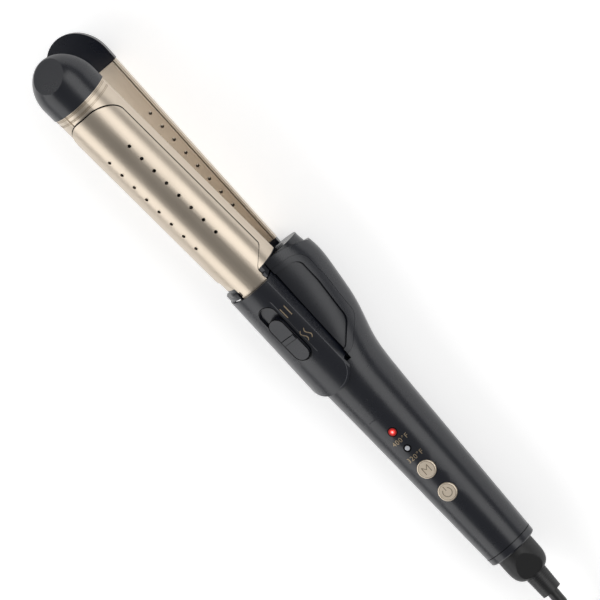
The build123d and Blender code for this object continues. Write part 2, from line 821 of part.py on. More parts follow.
# Mode switch: a knob in the lever's slot and the latch that it carries
knob_x = slot_x + (slot_length - knob_length) / 2 - knob_fit
with BuildPart() as switch_knob:
    knob_plane = switch_plane(slot_x)
    knob_shift = knob_x - slot_x
    with BuildSketch(knob_plane.offset(knob_fit - slot_depth)):
        with Locations((knob_shift, 0)):
            SlotOverall(knob_length, slot_width - 2 * knob_fit)
    extrude(amount=slot_depth - knob_fit + knob_proud)
    fillet(switch_knob.faces().sort_by(Axis(knob_plane.origin, knob_plane.z_dir))[-1].edges(), 0.6)
    with BuildSketch(knob_plane.offset(knob_proud - 0.2)):
        with Locations((knob_shift, 0)):
            Rectangle(rib_width, slot_width - 2 * knob_fit - 1.4)
    extrude(amount=rib_height + 0.2)
    with BuildSketch(knob_plane.offset(-pan_depth - fit)):
        with Locations((knob_shift, 0)):
            Rectangle(stem_length, stem_width)
    extrude(amount=pan_depth + fit)
keep(switch_knob, "switch_knob")

with BuildPart() as switch_latch:
    with BuildSketch(knob_plane.offset(-pan_depth - fit - latch_t)):
        with Locations((knob_shift, 0)):
            RectangleRounded(latch_length, latch_width, 1.5)
    extrude(amount=latch_t)
keep(switch_latch, "switch_latch")

# Buttons and light pipes
for label, x in (("mode_button", mode_button_x), ("power_button", power_button_x)):
    bottom = board_z + board_t + tact_height + button_travel + fit
    with BuildPart() as button:
        with BuildSketch(plan(bottom)):
            with Locations((x, 0)):
                Circle(button_r)
        extrude(amount=handle_r(x) + button_proud - bottom)
        fillet(button.edges().group_by(Axis.Z)[-1], 0.5)
        with BuildSketch(plan(bottom)):
            with Locations((x, 0)):
                Circle(button_flange_r)
        extrude(amount=button_flange_t)
    keep(button, label)

for label, x in (("high_heat_lens", high_light_x), ("low_heat_lens", low_light_x)):
    bottom = board_z + board_t + led_height + fit
    with BuildPart() as lens:
        with BuildSketch(plan(bottom)):
            with Locations((x, 0)):
                Circle(light_r)
        extrude(amount=handle_r(x) + light_proud - bottom)
        fillet(lens.edges().group_by(Axis.Z)[-1], 0.3)
    keep(lens, label)

# Circuit board and what it carries
with BuildPart() as circuit_board:
    with BuildSketch(plan(board_z)):
        with Locations(((board_start_x + board_end_x) / 2, 0)):
            RectangleRounded(board_end_x - board_start_x, 2 * board_half, 1.5)
    extrude(amount=board_t)
keep(circuit_board, "circuit_board")

with BuildPart() as tact_switches:
    with BuildSketch(plan(board_z + board_t)):
        with Locations((mode_button_x, 0), (power_button_x, 0)):
            Rectangle(tact_side, tact_side)
    extrude(amount=tact_height)
keep(tact_switches, "tact_switches")

with BuildPart() as indicator_leds:
    with BuildSketch(plan(board_z + board_t)):
        with Locations((high_light_x, 0), (low_light_x, 0)):
            Circle(led_r)
    extrude(amount=led_height)
keep(indicator_leds, "indicator_leds")

with BuildPart() as shell_screws:
    for x in screw_xs:
        seat = screw_seat - handle_r(x)
        with BuildSketch(plan(seat - screw_head_t)):
            with Locations((x, 0)):
                Circle(screw_head_r)
        extrude(amount=screw_head_t)
        with BuildSketch(plan(seat)):
            with Locations((x, 0)):
                Circle(screw_r)
        extrude(amount=screw_reach - seat)
keep(shell_screws, "shell_screws")

# Springs
with BuildPart() as arm_spring:
    spring_low = -spring_seat + arm_spring_wire + fit
    roof = math.radians(open_angle)
    spring_high = pin_z - (pin_z - spring_seat) * math.cos(roof) - arm_spring_x * math.sin(roof)
    spring_high -= (arm_spring_r + arm_spring_wire) * math.sin(roof) + arm_spring_wire + 3 * fit
    with BuildLine() as arm_coil:
        Helix(
            pitch=(spring_high - spring_low) / spring_turns,
            height=spring_high - spring_low,
            radius=arm_spring_r,
            center=(arm_spring_x, 0, axis_z + spring_low),
        )
    with BuildSketch(Plane(origin=arm_coil.line @ 0, z_dir=arm_coil.line % 0)):
        Circle(arm_spring_wire)
    sweep(is_frenet=True)
keep(arm_spring, "arm_spring")

with BuildPart() as clip_spring:
    roof_r = lever_r(clip_spring_x) - lever_wall
    clip_spring_low = clip_spring_seat_z + clip_spring_wire + fit
    clip_spring_high = math.sqrt(roof_r**2 - (clip_spring_r + clip_spring_wire) ** 2)
    clip_spring_high -= clip_spring_wire + 0.3
    spring_plane = on_arm(plan(clip_spring_low))
    with BuildLine(spring_plane) as clip_coil:
        Helix(
            pitch=(clip_spring_high - clip_spring_low) / spring_turns,
            height=clip_spring_high - clip_spring_low,
            radius=clip_spring_r,
            center=(clip_spring_x, 0, 0),
        )
    with BuildSketch(Plane(origin=clip_coil.line @ 0, z_dir=clip_coil.line % 0)):
        Circle(clip_spring_wire)
    sweep(is_frenet=True)
keep(clip_spring, "clip_spring")

# Swivelling cord gland with its slanted end, and the ribbed strain relief
with BuildPart() as swivel_gland:
    rear_face_x = handle_end_x - spigot_length - 0.3
    with BuildSketch(radial(0)):
        with BuildLine():
            Polyline(
                (rear_face_x - gland_flange_t, 0),
                (rear_face_x - gland_flange_t, gland_flange_r),
                (rear_face_x, gland_flange_r),
                (rear_face_x, gland_neck_r),
                (collar_end_x + 0.3, gland_neck_r),
                (collar_end_x + 0.3, gland_r),
                (gland_facet_x + gland_r, gland_r),
                (gland_facet_x + gland_r, 0),
                close=True,
            )
        make_face()
    revolve(axis=long_axis)
    lean = math.radians(gland_facet_angle)
    gland_facet = Plane(
        origin=(gland_facet_x, 0, axis_z),
        x_dir=(0, 1, 0),
        z_dir=(math.cos(lean), 0, math.sin(lean)),
    )
    split(bisect_by=gland_facet, keep=Keep.BOTTOM)
    with BuildSketch(across(relief_root_x)):
        Circle(relief_r + fit / 2)
    extrude(amount=30, mode=Mode.SUBTRACT)
keep(swivel_gland, "swivel_gland")

with BuildPart() as strain_relief:
    with BuildSketch(radial(0)):
        with BuildLine():
            Polyline(
                (relief_root_x, 0),
                (relief_root_x, relief_r),
                (relief_end_x - rib_count * rib_pitch - 1, relief_r),
                (relief_end_x, relief_end_r),
                (relief_end_x, 0),
                close=True,
            )
        make_face()
        for rib in range(rib_count):
            with Locations((relief_end_x - 1.2 - rib * rib_pitch, relief_r)):
                Rectangle(rib_gap, 2 * rib_depth + 0.3, mode=Mode.SUBTRACT)
    revolve(axis=long_axis)
keep(strain_relief, "strain_relief")


def cord_tube(points, label):
    """Cord along straight runs, with each corner as round as its two runs allow."""
    radii = []
    for before, at, after in zip(points, points[1:], points[2:]):
        run_in, run_out = Vector(*at) - Vector(*before), Vector(*after) - Vector(*at)
        turn = math.radians(run_in.get_angle(run_out))
        radii.append(0.45 * min(run_in.length, run_out.length) / math.tan(turn / 2))
    print(label, "radii", [round(radius, 1) for radius in radii])
    with BuildPart() as tube:
        with BuildLine() as route:
            FilletPolyline(*points, radius=radii)
        with BuildSketch(Plane(origin=route.line @ 0, z_dir=route.line % 0)):
            Circle(cord_r)
        sweep()
    length = route.wire().length
    print(label, "length", round(length, 1))
    print(label, "volume share", round(tube.part.volume / (math.pi * cord_r**2 * length), 3))
    return tube, length


# Free stretch from the strain relief down to the surface
lead_points = [
    (relief_end_x, 0, axis_z),
    (170.5, 0, axis_z),
    (203.0, coil_start_y, coil_z),
    (coil_x, coil_start_y, coil_z),
]
cord_lead, lead_length = cord_tube(lead_points, "cord_lead")
keep(cord_lead, "cord_lead")

# Coil of two turns side by side in each layer, as half turns of (radius, climb in layers)
outer_r = coil_mean_r + coil_pitch / 2
inner_r = coil_mean_r - coil_pitch / 2
inward = [(outer_r, 0), (coil_mean_r, 0), (inner_r, 0), (coil_mean_r - coil_pitch, 1)]
outward = [(inner_r, 0), (coil_mean_r, 0), (outer_r, 0), (coil_mean_r + coil_pitch, 1)]
with BuildPart() as cord_coil:
    with BuildLine() as coil_route:
        spot = Vector(coil_x, coil_start_y, coil_z)
        heading = 1
        for radius, climb in (inward + outward) * coil_layer_pairs:
            goal = spot + Vector(0, 2 * heading * radius, climb * coil_pitch)
            half_chord = (goal - spot).length / 2
            middle = (spot + goal) * 0.5 + Vector(heading * half_chord, 0, 0)
            TangentArc(spot, middle, tangent=(heading, 0, 0))
            TangentArc(middle, goal, tangent=goal - spot)
            spot, heading = goal, -heading
    with BuildSketch(Plane(origin=coil_route.line @ 0, z_dir=coil_route.line % 0)):
        Circle(cord_r)
    sweep()
coil_wire = coil_route.wire()
coil_length = coil_wire.length
print("cord_coil length", round(coil_length, 1))
print("cord_coil volume share", round(cord_coil.part.volume / (math.pi * cord_r**2 * coil_length), 3))
samples = [coil_wire @ (step / 900) for step in range(901)]
spacing = coil_length / 900
skip = int(5 * cord_r / spacing)
least = min(
    (samples[i] - samples[j]).length
    for i in range(0, 901, 2)
    for j in range(i + skip, 901, 2)
)
print("cord_coil least gap to itself", round(least - 2 * cord_r, 2))
keep(cord_coil, "cord_coil")

# Tail: a loop out from the top of the coil and back over it to the plug
tail_start = coil_wire @ 1
tail_run, loop_run = 43.0, 35.0
loop_rise = loop_run * math.sin(math.radians(60))
coil_top = coil_z + (2 * coil_layer_pairs - 1) * coil_pitch + cord_r
plug_z = coil_top + plug_rest + plug_height / 2
tail_points = [
    tuple(tail_start),
    (coil_x + tail_run, tail_start.Y, tail_start.Z),
    (coil_x + tail_run + loop_run / 2, tail_start.Y + loop_rise, (tail_start.Z + plug_z) / 2),
    (coil_x + tail_run, tail_start.Y + 2 * loop_rise, plug_z),
    (coil_x + tail_run - loop_run, tail_start.Y + 2 * loop_rise, plug_z),
]
cord_tail, tail_length = cord_tube(tail_points, "cord_tail")
keep(cord_tail, "cord_tail")
print("whole cord length", round(lead_length + coil_length + tail_length, 1))

# Tie round the coil's strands on the side away from the iron
tie_y = coil_start_y + outer_r + coil_pitch / 2
tied = [spot.X for spot in samples if abs(spot.Y - tie_y) < tie_width and spot.X > coil_x]
with BuildPart() as cord_tie:
    band_in = min(tied) - cord_r - tie_gap
    band_out = max(tied) + cord_r + tie_gap
    band_low = coil_z - cord_r - 0.2
    band_high = coil_top + tie_gap
    with BuildSketch(Plane.XZ.offset(-tie_y - tie_width / 2)):
        with Locations(((band_in + band_out) / 2, (band_low + band_high) / 2)):
            RectangleRounded(band_out - band_in + 2 * tie_t, band_high - band_low + 2 * tie_t, 3.0)
            RectangleRounded(band_out - band_in, band_high - band_low, 2.4, mode=Mode.SUBTRACT)
    extrude(amount=tie_width)
keep(cord_tie, "cord_tie")

plug_x = tail_points[-1][0]
plug_y = tail_points[-1][1]
with BuildPart() as plug_body:
    face = Plane(origin=(plug_x, plug_y, plug_z), x_dir=(0, 1, 0), z_dir=(-1, 0, 0))
    with BuildSketch(face):
        Circle(plug_relief_r - 0.8)
    with BuildSketch(face.offset(plug_relief_length)):
        Circle(plug_relief_r)
    loft()
    with BuildSketch(face.offset(plug_relief_length)):
        RectangleRounded(plug_width - 8, plug_height - 3, 4.5)
    with BuildSketch(face.offset(plug_relief_length + 10)):
        RectangleRounded(plug_width, plug_height, 6)
    loft()
    with BuildSketch(face.offset(plug_relief_length + 10)):
        RectangleRounded(plug_width, plug_height, 6)
    extrude(amount=plug_length - 10)
keep(plug_body, "plug_body")

with BuildPart() as plug_blades:
    blade_plane = face.offset(plug_relief_length + plug_length)
    with BuildSketch(blade_plane):
        with Locations((blade_spacing / 2, 0), (-blade_spacing / 2, 0)):
            Rectangle(blade_t, blade_width)
    extrude(amount=blade_length)
keep(plug_blades, "plug_blades")

print("pieces", len(pieces))
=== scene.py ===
# Two-in-one curling iron: camera, cord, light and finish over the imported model.
# Metres. +X runs from the barrel tip to the cord, +Y across, +Z up through the lever.
import json
import math

import bmesh
import bpy
from mathutils import Matrix, Vector


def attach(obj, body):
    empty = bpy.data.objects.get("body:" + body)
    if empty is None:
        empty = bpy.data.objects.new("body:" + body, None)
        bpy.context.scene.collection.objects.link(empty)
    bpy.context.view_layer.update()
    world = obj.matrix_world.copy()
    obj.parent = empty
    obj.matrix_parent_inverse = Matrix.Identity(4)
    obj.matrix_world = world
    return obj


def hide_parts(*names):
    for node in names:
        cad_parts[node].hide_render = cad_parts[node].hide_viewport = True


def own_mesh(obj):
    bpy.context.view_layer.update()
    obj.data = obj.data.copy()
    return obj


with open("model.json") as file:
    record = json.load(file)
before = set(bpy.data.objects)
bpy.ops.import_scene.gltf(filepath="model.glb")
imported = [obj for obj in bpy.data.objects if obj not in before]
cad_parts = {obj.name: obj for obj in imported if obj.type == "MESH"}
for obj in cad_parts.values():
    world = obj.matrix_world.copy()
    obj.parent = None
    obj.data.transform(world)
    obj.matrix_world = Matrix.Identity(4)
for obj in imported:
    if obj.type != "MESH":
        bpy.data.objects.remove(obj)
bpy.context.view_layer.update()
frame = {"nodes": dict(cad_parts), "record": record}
scene = bpy.context.scene
mm = 0.001

# Sizes that several pieces share, as in the CAD source, in millimetres
axisZ = 16.8  # the long axis over the table
pinZ = 9.0  # the hinge pin over the long axis
barrelR = 16.0
neckX, neckR = 13.0, 17.15  # the handle's taper, from here
handleEndX, handleEndR = 118.0, 13.35  # to here
leverFrontX, leverFrontR = -59.4, 18.6
leverRearX, leverRearR = 4.8, 21.4
clipT = 0.7

# Vertices nearer than this are one, in metres: in a new piece, and in a copy of a CAD solid
pieceGap = 1e-7
solidGap = 1e-6

origin = (0, 0, 0)
upright = (0, 0, 1)
lengthwise = (1, 0, 0)

openAngle = math.radians(8.6)  # between the two half barrels, as in the photograph
armPose = (
    Matrix.Translation((0, 0, axisZ + pinZ))
    @ Matrix.Rotation(openAngle, 4, "Y")
    @ Matrix.Translation((0, 0, -pinZ))
)


# A place on the fixed side, z from the long axis, in metres
def onBase(x, y, z):
    return Vector((x, y, axisZ + z)) * mm


# A place on the hinged arm, given as if the arm were shut, in metres
def onArm(x, y, z):
    return (armPose @ Vector((x, y, z))) * mm


# Camera: a long lens far off, turned so that the handle runs to the lower right
photoView = {
    "aim": (-37.67, 5.16, 20.0), "yaw": -6.0, "pitch": 21.35, "roll": 50.17,
    "distance": 4.0, "focalPixels": 8297.0, "photoPixels": 600, "sensor": 36.0, "farthest": 50.0,
}


def makeCamera(m):
    yaw, pitch, roll = (math.radians(m[name]) for name in ("yaw", "pitch", "roll"))
    toCamera = Vector((math.sin(yaw) * math.cos(pitch), math.sin(pitch), math.cos(yaw) * math.cos(pitch)))
    level = Vector((0, 1, 0)).cross(toCamera).normalized()
    rise = toCamera.cross(level)
    right = level * math.cos(roll) + rise * math.sin(roll)
    up = rise * math.cos(roll) - level * math.sin(roll)
    data = bpy.data.cameras.new("camera")
    data.sensor_width = m["sensor"]
    data.lens = data.sensor_width * m["focalPixels"] / m["photoPixels"]
    data.clip_end = m["farthest"]
    camera = bpy.data.objects.new("camera", data)
    scene.collection.objects.link(camera)
    turn = Matrix((right, up, toCamera)).transposed().to_4x4()
    camera.matrix_world = Matrix.Translation(Vector(m["aim"]) * mm + toCamera * m["distance"]) @ turn
    scene.camera = camera


makeCamera(photoView)
print("camera")

# Finishes. A grain is (scale, height) and a spread is (scale, least and most roughness)
noiseLook = {"grainDetail": 3.0, "grainStrength": 0.6,
             "spreadDetail": 4.0, "spreadFrom": 0.3, "spreadTo": 0.7}


# Noise on the piece's own coordinates
def addNoise(tree, scale, detail):
    place = tree.nodes.new("ShaderNodeTexCoord").outputs["Object"]
    noise = tree.nodes.new("ShaderNodeTexNoise")
    noise.inputs["Scale"].default_value = scale
    noise.inputs["Detail"].default_value = detail
    tree.links.new(place, noise.inputs["Vector"])
    return noise.outputs["Fac"]


# A principled material with an optional fine grain, spread of gloss and glow
def newMaterial(name, base, roughness, metallic=0.0, grain=None, spread=None, coat=0.0, specular=0.5,
                glow=None):
    material = bpy.data.materials.new(name)
    material.use_nodes = True
    tree = material.node_tree
    shader = tree.nodes["Principled BSDF"]
    shader.inputs["Base Color"].default_value = (*base, 1.0)
    shader.inputs["Roughness"].default_value = roughness
    shader.inputs["Metallic"].default_value = metallic
    shader.inputs["Coat Weight"].default_value = coat
    shader.inputs["Specular IOR Level"].default_value = specular
    if glow:
        tone, strength = glow
        shader.inputs["Emission Color"].default_value = (*tone, 1.0)
        shader.inputs["Emission Strength"].default_value = strength
    if grain:
        scale, height = grain
        lift = tree.nodes.new("ShaderNodeBump")
        lift.inputs["Strength"].default_value = noiseLook["grainStrength"]
        lift.inputs["Distance"].default_value = height
        tree.links.new(addNoise(tree, scale, noiseLook["grainDetail"]), lift.inputs["Height"])
        tree.links.new(lift.outputs["Normal"], shader.inputs["Normal"])
    if spread:
        scale, low, high = spread
        steps = tree.nodes.new("ShaderNodeMapRange")
        steps.inputs["From Min"].default_value = noiseLook["spreadFrom"]
        steps.inputs["From Max"].default_value = noiseLook["spreadTo"]
        steps.inputs["To Min"].default_value = low
        steps.inputs["To Max"].default_value = high
        tree.links.new(addNoise(tree, scale, noiseLook["spreadDetail"]), steps.inputs["Value"])
        tree.links.new(steps.outputs["Result"], shader.inputs["Roughness"])
    return material


# One finish for each material slot of the CAD
slotFinishes = {
    "black_plastic": dict(base=(0.0066, 0.008, 0.0135), roughness=0.28, specular=0.62,
                          grain=(2600.0, 2e-5), spread=(60.0, 0.25, 0.31)),
    "black_rubber": dict(base=(0.0075, 0.0078, 0.0088), roughness=0.42, specular=0.6,
                         grain=(1800.0, 3e-5), spread=(80.0, 0.38, 0.46)),
    "gold_metal": dict(base=(0.6, 0.52, 0.425), roughness=0.34, metallic=1.0,
                       grain=(3000.0, 6e-6), spread=(40.0, 0.31, 0.37)),
    "gold_plastic": dict(base=(0.86, 0.75, 0.61), roughness=0.46, metallic=1.0,
                         grain=(3000.0, 5e-6), spread=(90.0, 0.43, 0.49)),
    "heater_ceramic": dict(base=(0.7, 0.68, 0.63), roughness=0.7, grain=(900.0, 4e-5)),
    "steel": dict(base=(0.55, 0.55, 0.56), roughness=0.3, metallic=1.0, grain=(1500.0, 8e-6)),
    "brass": dict(base=(0.7, 0.52, 0.25), roughness=0.25, metallic=1.0, grain=(1500.0, 6e-6)),
    "board_green": dict(base=(0.03, 0.16, 0.07), roughness=0.45, grain=(700.0, 2e-5)),
    "clear_lens": dict(base=(0.55, 0.56, 0.6), roughness=0.15, coat=0.5, spread=(200.0, 0.12, 0.2)),
    "red_lens": dict(base=(0.75, 0.03, 0.02), roughness=0.2, coat=0.5, spread=(200.0, 0.15, 0.25),
                     glow=((1.0, 0.05, 0.04), 0.6)),
}

# Finishes of single pieces: plates, rims, marks, lines and lights
pieceFinishes = {
    "markGold": dict(base=(0.42, 0.33, 0.22), roughness=0.4, metallic=0.6, grain=(3000.0, 4e-6)),
    "darkGold": dict(base=(0.36, 0.285, 0.2), roughness=0.4, metallic=0.8, grain=(3000.0, 4e-6)),
    # A lighter, rougher gold for the plates; the lighter tone is painted light that lifts them out of the
    # near arm's shade
    "plateGoldPaintedLight": dict(base=(0.8, 0.72, 0.62), roughness=0.42, metallic=1.0, grain=(3000.0, 5e-6)),
    # A pale gold for the fixed half barrel's rim line: a painted highlight
    "rimHighlightGold": dict(base=(0.88, 0.81, 0.71), roughness=0.5, metallic=1.0, grain=(3000.0, 5e-6)),
    "fingerBlack": dict(base=(0.0066, 0.008, 0.0135), roughness=0.33, specular=0.62,
                        grain=(1800.0, 2e-5), spread=(80.0, 0.33, 0.39)),
    "glandBlack": dict(base=(0.0085, 0.0085, 0.009), roughness=0.5,
                       grain=(1800.0, 2e-5), spread=(80.0, 0.47, 0.53)),
    # A light grey for the lever's ridge line: a painted highlight
    "ridgeHighlightGrey": dict(base=(0.085, 0.087, 0.098), roughness=0.35, grain=(2600.0, 1e-5)),
    "haloRed": dict(base=(0.12, 0.006, 0.005), roughness=0.4, glow=((0.55, 0.012, 0.01), 0.5),
                    grain=(900.0, 1e-5)),
    "sparkRed": dict(base=(0.9, 0.6, 0.6), roughness=0.2, coat=0.5, glow=((1.0, 0.55, 0.52), 0.35),
                     grain=(900.0, 1e-5)),
    # Near black for fine dark lines, joints and rings, and for painted shade under the clip's edge and round
    # the knob and its recess
    "darkLinesAndPaintedShade": dict(base=(0.0018, 0.0018, 0.002), roughness=0.9, specular=0.1, grain=(2000.0, 1e-5)),
}
materials = {name: newMaterial(name, **finish) for name, finish in (slotFinishes | pieceFinishes).items()}

ownFinish = {"far_plate": "plateGoldPaintedLight", "near_plate": "plateGoldPaintedLight", "finger_rest": "fingerBlack"}
slotOf = {entry["node"]: entry["material_slot"] for entry in frame["record"]["subparts"]}
for node, thing in frame["nodes"].items():
    thing.data.materials.clear()
    thing.data.materials.append(materials[ownFinish.get(node, slotOf[node])])
print("materials", len(materials))

# Small pieces laid on the solids. Each is drawn flat in millimetres, along, across and up,
# and then laid on a surface.


# Radii of the handle's taper and of the lever's cone at a place along them
def handleR(x):
    return neckR + (handleEndR - neckR) * (x - neckX) / (handleEndX - neckX)


def leverR(x):
    return leverFrontR + (leverRearR - leverFrontR) * (x - leverFrontX) / (leverRearX - leverFrontX)


def onLever(x, y, up):
    radius = leverR(x)
    angle = y / radius
    return onArm(x, (radius + up) * math.sin(angle), (radius + up) * math.cos(angle))


def onHandle(x, y, up):
    radius = handleR(x)
    angle = y / radius
    return onBase(x, (radius + up) * math.sin(angle), (radius + up) * math.cos(angle))


def onNearBarrel(x, y, up):
    angle = y / barrelR
    return onArm(x, (barrelR + up) * math.sin(angle), (barrelR + up) * math.cos(angle))


def onClip(x, y, up):
    return onNearBarrel(x, y, up + clipT)


# A level top that stands proud of the handle, such as a button's
def onFlatTop(middleX, proud):
    def place(x, y, up):
        return onBase(x, y, handleR(middleX) + proud + up)

    return place


# For a copy of a CAD solid, which is in its place already
def asItLies(x, y, z):
    return Vector((x, y, z))


# A flat bar with its middle at a place, with an optional wave along it
def barMesh(middle, length, width, height, segments, wave=0.0, crossSegments=1):
    bm = bmesh.new()
    bmesh.ops.create_grid(bm, x_segments=segments, y_segments=crossSegments, size=0.5)
    bmesh.ops.scale(bm, vec=(length, width, 1), verts=bm.verts)
    for vert in bm.verts:
        vert.co.y += wave * math.sin(2 * math.pi * vert.co.x / length)
    top = bmesh.ops.extrude_face_region(bm, geom=bm.faces[:], use_keep_orig=True)["geom"]
    topVerts = [item for item in top if isinstance(item, bmesh.types.BMVert)]
    bmesh.ops.translate(bm, vec=(0, 0, height), verts=topVerts)
    bmesh.ops.translate(bm, vec=(middle[0], middle[1], 0), verts=bm.verts)
    return bm


# Turns a mesh about an axis through its centre
def turnMesh(bm, degrees, axis, centre=origin):
    turn = Matrix.Rotation(math.radians(degrees), 3, axis)
    bmesh.ops.rotate(bm, cent=centre, matrix=turn, verts=bm.verts)


# A flat ring about the up axis, or the part of one that a sweep from the X axis makes
def ringMesh(middle, radius, width, height, segments=32, sweep=360.0, start=0.0):
    bm = bmesh.new()
    bmesh.ops.create_grid(bm, x_segments=1, y_segments=1, size=0.5)
    bmesh.ops.scale(bm, vec=(width, height, 1), verts=bm.verts)
    turnMesh(bm, 90, "X")
    bmesh.ops.translate(bm, vec=(radius, 0, height / 2), verts=bm.verts)
    turnMesh(bm, start, "Z")
    bmesh.ops.delete(bm, geom=bm.faces[:], context="FACES_ONLY")
    whole = sweep >= 360.0
    bmesh.ops.spin(bm, geom=bm.verts[:] + bm.edges[:], cent=origin, axis=upright, dvec=origin,
                   angle=math.radians(sweep), steps=segments, use_merge=whole, use_duplicate=False)
    if not whole:
        bmesh.ops.holes_fill(bm, edges=[edge for edge in bm.edges if edge.is_boundary])
    bmesh.ops.translate(bm, vec=(middle[0], middle[1], 0), verts=bm.verts)
    return bm


# The rounded outline of a slot, as two half rings and two bars
def slotMeshes(middleX, length, radius, width, height, endSegments=20, sideSegments=16):
    reach = length / 2 - radius
    meshes = []
    for side, start in ((1, 180.0), (-1, 0.0)):
        endX = middleX + side * reach
        end = ringMesh((endX, 0), radius, width, height, endSegments, 180.0, start)
        turnMesh(end, 90, "Z", (endX, 0, 0))
        meshes.append(end)
    for side in (1, -1):
        meshes.append(barMesh((middleX, side * radius), 2 * reach, width, height, sideSegments))
    return meshes


capShare = 0.69  # height of a capital in the font, as a share of its size


# Figures whose tops point to the barrel and that read across the handle
def wordMesh(words, middle, height, thick, sunk=0.0, thinner=0.0, spacing=1.0):
    data = bpy.data.curves.new("words", "FONT")
    data.body = words
    data.size = height / capShare
    data.extrude = thick / 2
    data.offset = -thinner
    data.resolution_u = 4
    data.space_character = spacing
    data.align_x = "CENTER"
    thing = bpy.data.objects.new("words", data)
    scene.collection.objects.link(thing)
    flat = bpy.data.meshes.new_from_object(thing.evaluated_get(bpy.context.evaluated_depsgraph_get()))
    bm = bmesh.new()
    bm.from_mesh(flat)
    bpy.data.objects.remove(thing)
    bpy.data.curves.remove(data)
    bpy.data.meshes.remove(flat)
    bmesh.ops.translate(bm, vec=(0, -height / 2, thick / 2 - sunk), verts=bm.verts)
    turnMesh(bm, 90, "Z")
    bmesh.ops.translate(bm, vec=(middle[0], middle[1], 0), verts=bm.verts)
    return bm


# A copy of a CAD node's mesh with its loose triangles joined
def mergedCopy(node):
    bm = bmesh.new()
    bm.from_mesh(frame["nodes"][node].data)
    bmesh.ops.remove_doubles(bm, verts=bm.verts, dist=solidGap)
    return bm


# Joins meshes into one piece, lays it on a surface, attaches it to its body and gives it the finish named,
# or else the slot's finish
def addPiece(name, meshes, surface, body, slot, finish=None, turnFaces=True):
    whole = bmesh.new()
    for bm in meshes:
        part = bpy.data.meshes.new("part")
        bm.to_mesh(part)
        bm.free()
        whole.from_mesh(part)
        bpy.data.meshes.remove(part)
    for vert in whole.verts:
        vert.co = surface(*vert.co)
    bmesh.ops.remove_doubles(whole, verts=whole.verts, dist=pieceGap)
    if turnFaces:
        bmesh.ops.recalc_face_normals(whole, faces=whole.faces)
    data = bpy.data.meshes.new(name)
    whole.to_mesh(data)
    whole.free()
    data.materials.append(materials[finish or slot])
    piece = bpy.data.objects.new(name, data)
    scene.collection.objects.link(piece)
    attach(piece, body)
    return piece


# Marks on the lever: straight bars for one place of the switch, waves for the other
leverMarks = {
    "barX": -41.9, "barLength": 5.8, "barWidth": 0.5, "barY": (3.0, 5.6), "barSegments": 4,
    "waveX": -27.2, "waveLength": 6.2, "waveWidth": 0.5, "waveY": (2.6, 5.0), "waveSwing": 0.75,
    "waveSegments": 24, "height": 0.06,
}


def makeLeverMarks(m):
    meshes = []
    for y in m["barY"]:
        meshes.append(barMesh((m["barX"], y), m["barLength"], m["barWidth"], m["height"], m["barSegments"]))
    for y in m["waveY"]:
        meshes.append(barMesh((m["waveX"], y), m["waveLength"], m["waveWidth"], m["height"],
                              m["waveSegments"], m["waveSwing"]))
    addPiece("leverMarks", meshes, onLever, "clip_lever", "gold_plastic", "markGold")


makeLeverMarks(leverMarks)

# A thin light line along the lever's ridge, which turns round the lever's end: a painted highlight on the
# ridge's rounded edge
leverRidgeHighlight = {"frontX": -58.5, "rearX": -7.2, "y": 8.05, "width": 0.28, "height": 0.04,
             "cornerR": 10.9, "barSegments": 12, "turnSegments": 24}


def makeLeverRidgeHighlight(m):
    middle = ((m["frontX"] + m["rearX"]) / 2, m["y"])
    bar = barMesh(middle, m["rearX"] - m["frontX"], m["width"], m["height"], m["barSegments"])
    corner = (m["rearX"], m["y"] - m["cornerR"])
    turn = ringMesh(corner, m["cornerR"], m["width"], m["height"], m["turnSegments"], 90.0)
    addPiece("leverRidgeHighlight", [bar, turn], onLever, "clip_lever", "black_plastic", "ridgeHighlightGrey")


makeLeverRidgeHighlight(leverRidgeHighlight)

# Switch: the pair of dark lines across the knob, and dark outlines round the knob and its recess, which are
# painted shade in the gap round the knob and at the recess's rim.
# The lean is how far the slot lies round the lever from straight up.
knob = {
    "lean": -12.0, "proud": 1.1,
    "linesX": (-31.75, -29.05), "lineWidth": 0.3, "lineLength": 8.0, "lineHeight": 0.04,
    "edgeX": -30.4, "edgeLength": 25.4, "edgeR": 4.42, "edgeWidth": 0.4, "edgeHeight": 0.25, "edgeSunk": 0.3,
    "slotX": -33.8, "slotLength": 33.4, "slotR": 4.9, "slotWidth": 0.3, "slotHeight": 0.05,
}
slotAngle = math.radians(knob["lean"])


# The lever's skin round the slot
def onSlotRim(x, y, up):
    radius = leverR(x)
    angle = slotAngle + y / radius
    return onArm(x, (radius + up) * math.sin(angle), (radius + up) * math.cos(angle))


# The knob's flat top, square to the lever where the slot runs
def onKnob(x, y, up):
    radius = leverR(x) + knob["proud"] + up
    turnedY = radius * math.sin(slotAngle) + y * math.cos(slotAngle)
    turnedZ = radius * math.cos(slotAngle) - y * math.sin(slotAngle)
    return onArm(x, turnedY, turnedZ)


def onKnobGapShade(x, y, up):
    return onKnob(x, y, up - knob["edgeSunk"])


def makeSwitchLines(m):
    lines = [barMesh((x, 0), m["lineWidth"], m["lineLength"], m["lineHeight"], 1) for x in m["linesX"]]
    addPiece("knobLines", lines, onKnob, "mode_switch", "black_plastic", "darkLinesAndPaintedShade")
    # The outlines: painted shade round the knob's edge and along the rim of its recess
    edge = slotMeshes(m["edgeX"], m["edgeLength"], m["edgeR"], m["edgeWidth"], m["edgeHeight"])
    addPiece("knobGapShade", edge, onKnobGapShade, "mode_switch", "black_plastic", "darkLinesAndPaintedShade")
    recess = slotMeshes(m["slotX"], m["slotLength"], m["slotR"], m["slotWidth"], m["slotHeight"])
    addPiece("slotRimShade", recess, onSlotRim, "clip_lever", "black_plastic", "darkLinesAndPaintedShade")


makeSwitchLines(knob)
print("lever and switch")

